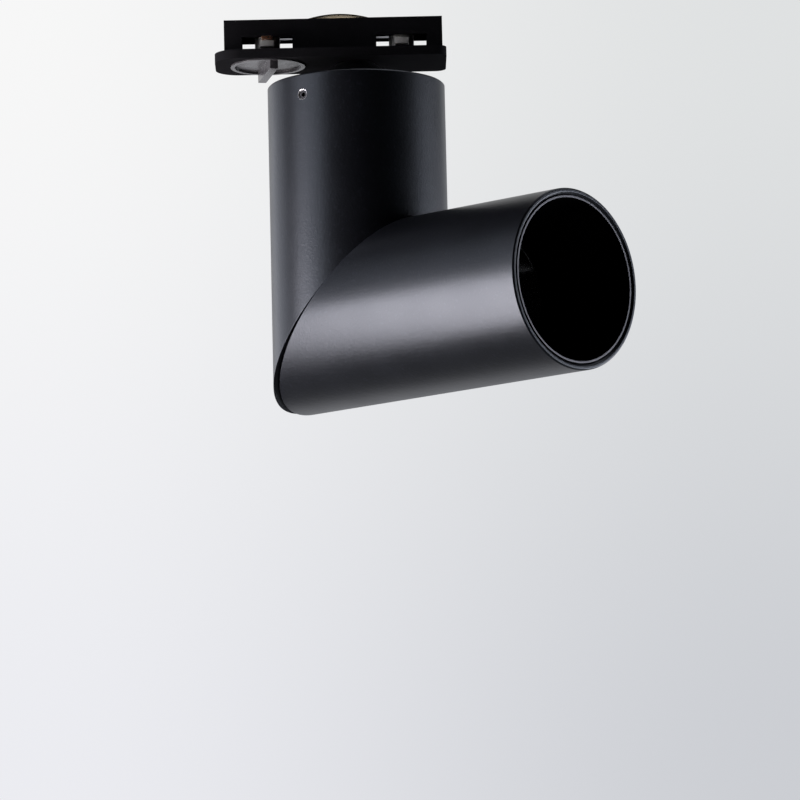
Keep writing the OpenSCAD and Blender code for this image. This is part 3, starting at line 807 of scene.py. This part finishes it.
class Ring(NamedTuple):
    """One ring of points round a screw hole, on the outer wall (side 0) or the inner one (side 1).

    Its share says how far it has gone from the window's border to a circle of its size.
    """

    side: int
    share: float
    size: float
    depth: float = 0.0
    bare: float = 0.0


@dataclass(frozen=True)
class TubeShell:
    """One of the two tubes: a thin wall with a mitred end, a chamfered rim and, if asked, screw holes.

    Its length runs from the mitre's centre to the rim, and its screw holes lie a drop below the rim. A
    hole takes a window of columns on either side, and rings a hair wide keep its edges crisp.
    """

    name: str
    axes: Axes
    joint: MitreJoint
    length: float
    radius: float
    wall: float
    hole_drop: float = 0.0

    columns: int = 256
    chamfer: float = 0.5 * MM
    bevel: float = 1.1 * MM
    rim_leg: float = 0.13 * MM
    mitre_leg: float = 0.22 * MM
    inner_leg: float = 0.15 * MM
    fill_rows: int = 14
    margin: float = 1 * MM
    window: int = 4
    hole_radius: float = 1.55 * MM
    hole_chamfer: float = 0.42 * MM
    hair: float = 0.02 * MM

    @property
    def bore(self) -> float:
        """Inside radius."""
        return self.radius - self.wall

    @property
    def hole_height(self) -> float:
        """Height of the middle of the screw holes."""
        return self.length - self.hole_drop

    def wall_rows(self, outline: Outline, low: np.ndarray, high: np.ndarray) -> np.ndarray:
        """Rows of a straight wall, spread evenly between two heights that change round the tube.

        Where there are screw holes, the rows end in a square grid about the holes.

        Args:
            outline: The outline that the rows are for.
            low: The corner below the wall at each column.
            high: The corner above the wall at each column.

        Returns:
            Rows by columns by radius and height, from the lower end up.
        """
        share = np.linspace(0, 1, self.fill_rows + 2)[1:-1, None]
        start, stop = low[:, 1] + self.margin, high[:, 1] - self.margin
        heights = start + share * (stop - start)
        if self.hole_drop:
            pitch = 2 * math.pi * self.radius / self.columns
            band = self.hole_height + pitch * np.arange(-self.window, self.window + 1)[:, None]
            heights = np.concatenate([start + share * (band[0] - start), band + 0 * start])
        return outline.point(low[0, 0], heights)

    def walls(self) -> tuple[Outline, np.ndarray, np.ndarray]:
        """Lays the wall's outline, from the mitre up the outside, over the rim and down the bore.

        Returns:
            The outline, and the rows beside the screw holes outside and inside, both upwards.
        """
        outline = Outline(self.columns)
        inner_cut, outer_cut = (
            outline.point(radius, self.joint.cut_height(radius, outline.turn))
            for radius in (self.bore, self.radius)
        )
        shoulder = outline.point(self.radius, self.length - self.chamfer)
        brow = outline.point(self.radius - self.chamfer, self.length)
        crown = outline.point(self.bore + self.bevel, self.length)
        seat = outline.point(self.bore, self.length - self.bevel)
        beside = np.arange(2 * self.window + 1)
        outline.add_corner(seat, inner_cut, outer_cut, self.inner_leg)
        outline.add_corner(inner_cut, outer_cut, shoulder, self.mitre_leg)
        outline.add(self.wall_rows(outline, outer_cut, shoulder))
        outer = outline.rows - len(beside) + beside
        rim = [outer_cut, shoulder, brow, crown, seat, inner_cut]
        for before, corner, after in zip(rim, rim[1:], rim[2:]):
            outline.add_corner(before, corner, after, self.rim_leg)
        inner = outline.rows + beside[::-1]
        outline.add(self.wall_rows(outline, inner_cut, seat)[::-1])
        return outline, outer, inner

    def build(self) -> Piece:
        """Carries the wall's outline round the axis and opens the screw holes.

        Returns:
            The new object.
        """
        outline, outer, inner = self.walls()
        surface = outline.surface()
        quads = closed_grid(*surface.shape[:2])
        keep = np.ones(quads.shape[:2], bool)
        # The rows round the outer mitre edge carry the mark of the painted edge highlight.
        edge = np.zeros(surface.shape[:2])
        edge[outline.corner_rows:2 * outline.corner_rows] = 1.0
        points, bare, faces = [surface.reshape(-1, 3)], [np.zeros(edge.size)], []
        quarters = (self.columns // 4, 3 * self.columns // 4) if self.hole_drop else ()
        for column in quarters:
            across = np.arange(column - self.window, column + self.window + 1)
            keep[np.ix_(outer[:-1], across[:-1])] = False
            keep[np.ix_(inner[1:], across[:-1])] = False
            first = sum(len(block) for block in points)
            borders = [self.border(rows, across) for rows in (outer, inner)]
            hole, mark, rings = self.screw_hole(surface, borders, column, first)
            points.append(hole)
            bare.append(mark)
            faces.append(rings)
        places = np.concatenate(points)
        unmarked = np.zeros(len(places) - edge.size)
        marks = {BARE: np.concatenate(bare), EDGE: np.concatenate([edge.ravel(), unmarked])}
        return mesh_piece(self.name, self.axes.place(places), np.concatenate([quads[keep], *faces]), marks)

    def border(self, rows: np.ndarray, across: np.ndarray) -> np.ndarray:
        """Walks round a square window of the grid, counter-clockwise from its low corner.

        Args:
            rows: Rows of the window, upwards.
            across: Columns of the window.

        Returns:
            Point numbers in that order.
        """
        low = rows[0] * self.columns + across[:-1]
        right = rows[:-1] * self.columns + across[-1]
        high = rows[-1] * self.columns + across[:0:-1]
        left = rows[:0:-1] * self.columns + across[0]
        return np.concatenate([low, right, high, left])

    def hole_rings(self) -> list[Ring]:
        """The rings from the outer wall over the bright chamfer and through the hole to the bore.

        Returns:
            The rings in order.
        """
        hole, hair = self.hole_radius, self.hair
        mouth = hole + self.hole_chamfer
        flat = 4 * hair
        return [
            Ring(0, 0.4, mouth + flat),
            Ring(0, 0.75, mouth + flat),
            Ring(0, 1.0, mouth + flat),
            Ring(0, 1.0, mouth + hair, bare=0.6),
            Ring(0, 1.0, mouth - hair, hair, bare=1.0),
            Ring(0, 1.0, hole + hair, self.hole_chamfer - hair, bare=1.0),
            Ring(0, 1.0, hole, self.hole_chamfer + hair, bare=1.0),
            Ring(0, 1.0, hole, self.wall / 2, bare=0.2),
            Ring(1, 1.0, hole),
            Ring(1, 1.0, hole + flat),
            Ring(1, 0.5, hole + flat),
        ]

    def screw_hole(
        self, surface: np.ndarray, borders: list[np.ndarray], column: int, first: int
    ) -> tuple[np.ndarray, np.ndarray, np.ndarray]:
        """Fills a window of the wall with rings that lead to a drilled and chamfered hole.

        A ring on the wall goes from the window's border to a circle by a share. A point at p along
        the wall and q up it lies sqrt(radius^2 - p^2) from the axis, less its depth.

        Args:
            surface: The wall's points, rows by columns.
            borders: Point numbers round the windows of the outer and the inner wall.
            column: Column of the hole's middle.
            first: Number of the first new point.

        Returns:
            The new points, how bare each is, and the quads of the rings.
        """
        flat = surface.reshape(-1, 3)
        turn = 2 * math.pi * column / self.columns
        out = np.array([math.cos(turn), math.sin(turn), 0.0])
        along = np.array([-math.sin(turn), math.cos(turn), 0.0])
        middle = self.hole_height
        rims = [np.stack([flat[loop] @ along, flat[loop][:, 2] - middle], axis=-1) for loop in borders]
        ways = [unit(rim) for rim in rims]
        walls = (self.radius, self.bore)
        plan = self.hole_rings()
        rings = []
        for ring in plan:
            spot = (1 - ring.share) * rims[ring.side] + ring.share * ring.size * ways[ring.side]
            away = np.sqrt(walls[ring.side] ** 2 - spot[:, :1] ** 2) - ring.depth
            rings.append(away * out + spot[:, :1] * along + (middle + spot[:, 1:]) * PART_AXES.z)
        count = len(borders[0])
        numbers = first + np.arange(len(plan) * count).reshape(len(plan), count)
        loops = np.concatenate([borders[:1], numbers, borders[1:]])
        ahead = np.roll(loops, -1, axis=1)
        quads = np.stack([loops[:-1], ahead[:-1], ahead[1:], loops[1:]], axis=-1).reshape(-1, 4)
        return np.concatenate(rings), np.repeat([ring.bare for ring in plan], count), quads


@dataclass
class Tubes(Assembly):
    """The upper tube and the head's tube."""

    wall: float = 2.5 * MM
    set_drop: float = 7.7 * MM
    lip_inset: float = 0.4 * MM

    def build(self) -> list[tuple[Piece, str]]:
        """Makes both shells from the frame's boxes, joint and mount.

        Returns:
            Each new piece with the node that it stands for.
        """
        joint = MitreJoint()
        low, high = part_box("upper_tube")
        radius = (high.x - low.x) / 2
        rise = high.z - joint.centre[2]
        reach = joint.lip + self.lip_inset
        upper_axes, head_axes = joint.tube_axes(), joint.head_axes()
        upper = TubeShell("upper_tube_shell", upper_axes, joint, rise, radius, self.wall, self.set_drop)
        head = TubeShell("head_tube_shell", head_axes, joint, reach, radius, self.wall)
        return [(upper.build(), "upper_tube"), (head.build(), "head_tube")]


@dataclass
class LightEngine(Assembly):
    """What shows inside the mouth of the head: the black baffle and the reflector behind the glass.

    The baffle's depth is from its lip to its floor, whose opening is the throat. Its lip is bare, but
    for the outermost rows of its two roundings.
    """

    columns: int = 192
    baffle_wall: float = 0.8 * MM
    baffle_depth: float = 33.6 * MM
    throat: float = 20.6 * MM
    shoulder: float = 1 * MM
    floor_leg: float = 0.1 * MM
    bend_leg: float = 2 * MM
    back_leg: float = 0.4 * MM
    lip_leg: float = 0.16 * MM
    lip_coat: tuple[int, int] = (2, 3)
    glass: float = 1.8 * MM
    bowl_gap: float = 0.1 * MM
    bowl_height: float = 9.4 * MM
    bowl_mouth: float = 20 * MM
    bowl_throat: float = 9.2 * MM
    bowl_wall: float = 1.2 * MM
    bowl_rim: float = 3 * MM
    bowl_rows: int = 24

    def build(self) -> list[tuple[Piece, str]]:
        """Makes the baffle and the reflector."""
        joint = MitreJoint()
        return [(self.baffle(joint), "baffle"), (self.reflector(joint), "reflector")]

    def baffle(self, joint: MitreJoint) -> Piece:
        """Carries the baffle's thin wall round the head's axis, its lip turned and left bright.

        Args:
            joint: The mitre, which knows the head's axis and mouth.

        Returns:
            The new object.
        """
        outline = Outline(self.columns)
        lip, bore = joint.lip, joint.bore
        floor = lip - self.baffle_depth
        bend = lip - joint.straight
        skin = bore + self.baffle_wall
        outline.add_polygon(
            (self.throat, floor, self.floor_leg),
            (bore, bend, self.bend_leg),
            (bore, lip, self.lip_leg),
            (skin, lip, self.lip_leg),
            (skin, bend - self.shoulder, self.back_leg),
            (self.throat + 2 * self.baffle_wall, floor, self.floor_leg),
        )
        lip_start, lip_stop = 2 * outline.corner_rows, 4 * outline.corner_rows
        bare = np.zeros(outline.rows)
        bare[lip_start + self.lip_coat[0]:lip_stop - self.lip_coat[1]] = 1.0
        return carried("baffle_shell", outline, joint.head_axes(), bare)

    def reflector(self, joint: MitreJoint) -> Piece:
        """Carries a parabola round the head's axis: the radius squared grows evenly with the height.

        Args:
            joint: The mitre, which knows the head's axis and mouth.

        Returns:
            The new object.
        """
        outline = Outline(self.columns)
        seat = joint.lip - self.baffle_depth - self.glass - self.bowl_gap
        share = np.linspace(0, 1, self.bowl_rows)[:, None]
        radius = np.sqrt((1 - share) * self.bowl_throat**2 + share * self.bowl_mouth**2)
        inside = seat - self.bowl_height * (1 - share)
        outside = seat - self.bowl_wall - (self.bowl_height - self.bowl_wall) * (1 - share)
        brim = np.array([[seat], [seat - self.bowl_wall]])
        outline.add(outline.point(radius, inside))
        outline.add(outline.point(self.bowl_mouth + self.bowl_rim, brim))
        outline.add(outline.point(radius + self.bowl_wall, outside)[::-1])
        return carried("reflector_bowl", outline, joint.head_axes())


@dataclass
class Neck(Assembly):
    """The conical collar between the adapter and the upper tube."""

    columns: int = 128
    foot: float = 2.6 * MM
    top_radius: float = 7 * MM
    bore: float = 5.05 * MM
    bore_leg: float = 0.1 * MM
    foot_leg: float = 0.5 * MM
    cone_leg: float = 1 * MM
    top_leg: float = 0.15 * MM

    def build(self) -> list[tuple[Piece, str]]:
        """Makes the collar from the box of its node.

        Returns:
            The new piece with the node that it stands for.
        """
        low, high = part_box("neck_collar")
        radius = (high.x - low.x) / 2
        outline = Outline(self.columns)
        outline.add_polygon(
            (self.bore, low.z, self.bore_leg),
            (radius, low.z, self.foot_leg),
            (radius, low.z + self.foot, self.cone_leg),
            (self.top_radius, high.z, self.top_leg),
            (self.bore, high.z, self.bore_leg),
        )
        return [(carried("neck_collar_shell", outline, PART_AXES), "neck_collar")]


@dataclass
class SoftenedPieces(Assembly):
    """Pieces whose solids are right and that only need the small round edges of the real ones.

    Points closer than merge and faces flatter than flat become one, and edges sharper than the crease
    are rounded to a width. A trim comes off the top of a piece that ends against one of another body.
    """

    merge: float = 0.002 * MM
    flat: float = math.radians(0.6)
    crease: float = math.radians(32)
    segments: int = 3
    level: float = 0.01 * MM
    widths: dict[str, float] = field(default_factory=lambda: {
        "adapter_base": 0.35 * MM,
        "adapter_lid": 0.35 * MM,
        "lid_screws": 0.12 * MM,
        "earth_spring": 0.1 * MM,
        "lock_knob": 0.3 * MM,
        "front_rotor": 0.2 * MM,
        "rear_rotor": 0.2 * MM,
        "live_contact": 0.12 * MM,
        "neutral_contact": 0.12 * MM,
        "top_cap": 0.3 * MM,
        "set_screws": 0.1 * MM,
        "tube_end_plate": 0.15 * MM,
        "head_end_plate": 0.15 * MM,
        "heat_sink": 0.2 * MM,
        "led_driver": 0.6 * MM,
        "input_leads": 0.12 * MM,
    })
    trims: dict[str, float] = field(default_factory=lambda: {"input_leads": 0.1 * MM})

    def build(self) -> list[tuple[Piece, str]]:
        """Makes a softened copy of each listed node."""
        return [(self.softened_copy(node), node) for node in self.widths]

    def softened_copy(self, node: str) -> Piece:
        """Copies a node, merges its triangles, lowers its top by its trim and rounds its edges.

        Args:
            node: Name of the node.

        Returns:
            The new object, named after the node.
        """
        work = bmesh.new()
        work.from_mesh(frame["nodes"][node].data)
        bmesh.ops.remove_doubles(work, verts=work.verts, dist=self.merge)
        bmesh.ops.dissolve_limit(work, angle_limit=self.flat, verts=work.verts, edges=work.edges)
        mesh = bpy.data.meshes.new(node + "_soft")
        work.to_mesh(mesh)
        work.free()
        places = np.empty(3 * len(mesh.vertices), np.float32)
        mesh.vertices.foreach_get("co", places)
        heights = places[2::3]
        heights[heights > heights.max() - self.level] -= self.trims.get(node, 0.0)
        mesh.vertices.foreach_set("co", places)
        mesh.shade_smooth()
        mesh.set_sharp_from_angle(angle=self.crease)
        piece = linked(node + "_soft", mesh)
        bevel = piece.modifiers.new("edge", "BEVEL")
        bevel.width = self.widths[node]
        bevel.segments = self.segments
        bevel.limit_method = "ANGLE"
        bevel.angle_limit = self.crease
        bevel.harden_normals = True
        return piece


@dataclass
class Viewpoint:
    """The camera of the photograph, fitted to the edges of the tubes and the mouth."""

    place: tuple[float, float, float] = (-2.13 * MM, -2137.02 * MM, -468.43 * MM)
    pitch: float = math.radians(9.037)
    yaw: float = math.radians(0.418)
    roll: float = math.radians(-1.324)
    lens: float = 267.6
    sensor: float = 36.0

    def set_up(self) -> None:
        """Makes the camera and gives it to the scene."""
        data = bpy.data.cameras.new("viewpoint")
        data.lens = self.lens
        data.sensor_width = self.sensor
        camera = linked("viewpoint", data)
        aim = Matrix.Rotation(-self.yaw, 4, "Z") @ Matrix.Rotation(math.pi / 2 + self.pitch, 4, "X")
        camera.matrix_world = Matrix.Translation(self.place) @ aim @ Matrix.Rotation(self.roll, 4, "Z")
        bpy.context.scene.camera = camera


@dataclass(frozen=True)
class Softbox:
    """A soft rectangular lamp that faces a target in the part.

    Angles are in degrees: the bearing from the camera's side towards the right, the rise above the
    target's level, and half of what the lamp fills each way. A radiance of 1 is seen as white.
    """

    name: str
    bearing: float
    rise: float
    half_width: float
    half_height: float
    radiance: float
    reach: float = 2.6
    tint: Colour = (0.9, 0.915, 1.0)
    target: tuple[float, float, float] = (0.02, -0.03, -0.09)

    def set_up(self) -> None:
        """Makes the lamp. Its power is radiance times pi times its area, over the mean of its colour."""
        turn, lift = math.radians(self.bearing), math.radians(self.rise)
        ray = Vector((math.sin(turn) * math.cos(lift), -math.cos(turn) * math.cos(lift), math.sin(lift)))
        data = bpy.data.lights.new(self.name, "AREA")
        data.shape = "RECTANGLE"
        data.size = 2 * self.reach * math.tan(math.radians(self.half_width))
        data.size_y = 2 * self.reach * math.tan(math.radians(self.half_height))
        data.color = self.tint
        data.energy = self.radiance * math.pi * data.size * data.size_y / np.mean(self.tint)
        lamp = linked(self.name, data)
        lamp.location = Vector(self.target) + self.reach * ray
        lamp.rotation_euler = (-ray).to_track_quat("-Z", "Y").to_euler()
        lamp.visible_camera = False


@dataclass
class Studio:
    """Pale floor, pale surroundings and soft lamps.

    The backdrop has a colour for each corner of the view: high left and right, then low left and right.
    The wall's edge is how far a ray points backwards where the backdrop begins and where it is full.
    """

    floor_z: float = -5.0
    floor_rings: tuple[float, ...] = (0.02, 1.0, 7.0)
    floor_columns: int = 64
    floor_thick: float = 0.01
    paper: Finish = PalePaper((0.74, 0.745, 0.755), 0.9)
    wall_light: Span = (0.003, 0.75)
    wall_gloss: float = 0.8
    wall_edge: Span = (0.654, 0.885)
    backdrop: tuple[Colour, Colour, Colour, Colour] = (
        (0.93, 0.93, 0.93),
        (0.74, 0.755, 0.76),
        (0.835, 0.84, 0.88),
        (0.60, 0.615, 0.65),
    )
    view_across: Span = (-0.061, 0.0755)
    view_rise: Span = (0.089, 0.224)
    lamps: tuple[Softbox, ...] = (
        Softbox(
            "left_panel", -82.0, -20.2, 12.0, 24.9, 12.9,
            reach=0.45, tint=(1.0, 0.92, 0.94), target=(0.045, -0.055, -0.09),
        ),
        Softbox("front_left_panel", -67.5, 23.3, 20.2, 27.2, 1.37),
        Softbox("right_panel", 109.9, -10.2, 28.0, 16.0, 5.5),
        Softbox("back_left_panel", -126.9, 0.1, 19.9, 14.4, 1.5),
        Softbox("top_panel", 150.0, 66.0, 22.0, 14.0, 0.8),
    )

    def set_up(self) -> None:
        """Makes the floor, the surroundings and the lamps."""
        self.floor()
        self.surroundings()
        for lamp in self.lamps:
            lamp.set_up()
        bpy.context.scene.view_settings.view_transform = "Standard"

    def floor(self) -> None:
        """Makes a round pale floor well below the part: rings of points, above and below."""
        outline = Outline(self.floor_columns)
        radius = np.array(self.floor_rings)[:, None]
        outline.add(outline.point(radius, self.floor_z))
        outline.add(outline.point(radius[::-1], self.floor_z - self.floor_thick))
        floor = carried("floor", outline, PART_AXES)
        floor.data.shade_flat()
        floor.data.materials.append(self.paper.material("floor_paper"))

    def surroundings(self) -> None:
        """Fills the world with a pale backdrop that metal and glass show where it stands behind them.

        The camera sees it all round. Glossy and transmission rays see it at the back, and a weaker
        light comes from there, because nothing pale stands in front of the part.
        """
        world = bpy.data.worlds.new("surroundings")
        bpy.context.scene.world = world
        world.use_nodes = True
        sheet = NodeSheet(world.node_tree)
        ray = sheet.add("SeparateXYZ", {0: sheet.add("TexCoord").outputs["Generated"]}).outputs
        across = sheet.spread(ray["X"], self.view_across)
        rise = sheet.spread(ray["Z"], self.view_rise)
        high = sheet.mix(across, *self.backdrop[:2])
        low = sheet.mix(across, *self.backdrop[2:])
        shown = sheet.seen(sheet.spread(ray["Y"], self.wall_edge, (0.0, self.wall_gloss)))
        light = sheet.spread(ray["Y"], self.wall_edge, self.wall_light)
        wall = sheet.tree.nodes["Background"].inputs
        sheet.feed(wall["Color"], sheet.mix(rise, low, high))
        sheet.feed(wall["Strength"], sheet.math("MAXIMUM", shown, light))


def main() -> None:
    """Builds and dresses the part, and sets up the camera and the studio."""
    logging.basicConfig(level=logging.INFO, format="%(message)s")
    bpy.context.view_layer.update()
    wardrobe = Wardrobe()
    for node, piece in frame["nodes"].items():
        wardrobe.dress(piece, slot_of(node))
        LOG.info("%s is dressed in %s", node, slot_of(node))
    Viewpoint().set_up()
    for assembly in (Tubes, LightEngine, Neck, SoftenedPieces):
        assembly(wardrobe).fit()
    Studio().set_up()


if __name__ == "__main__":
    main()
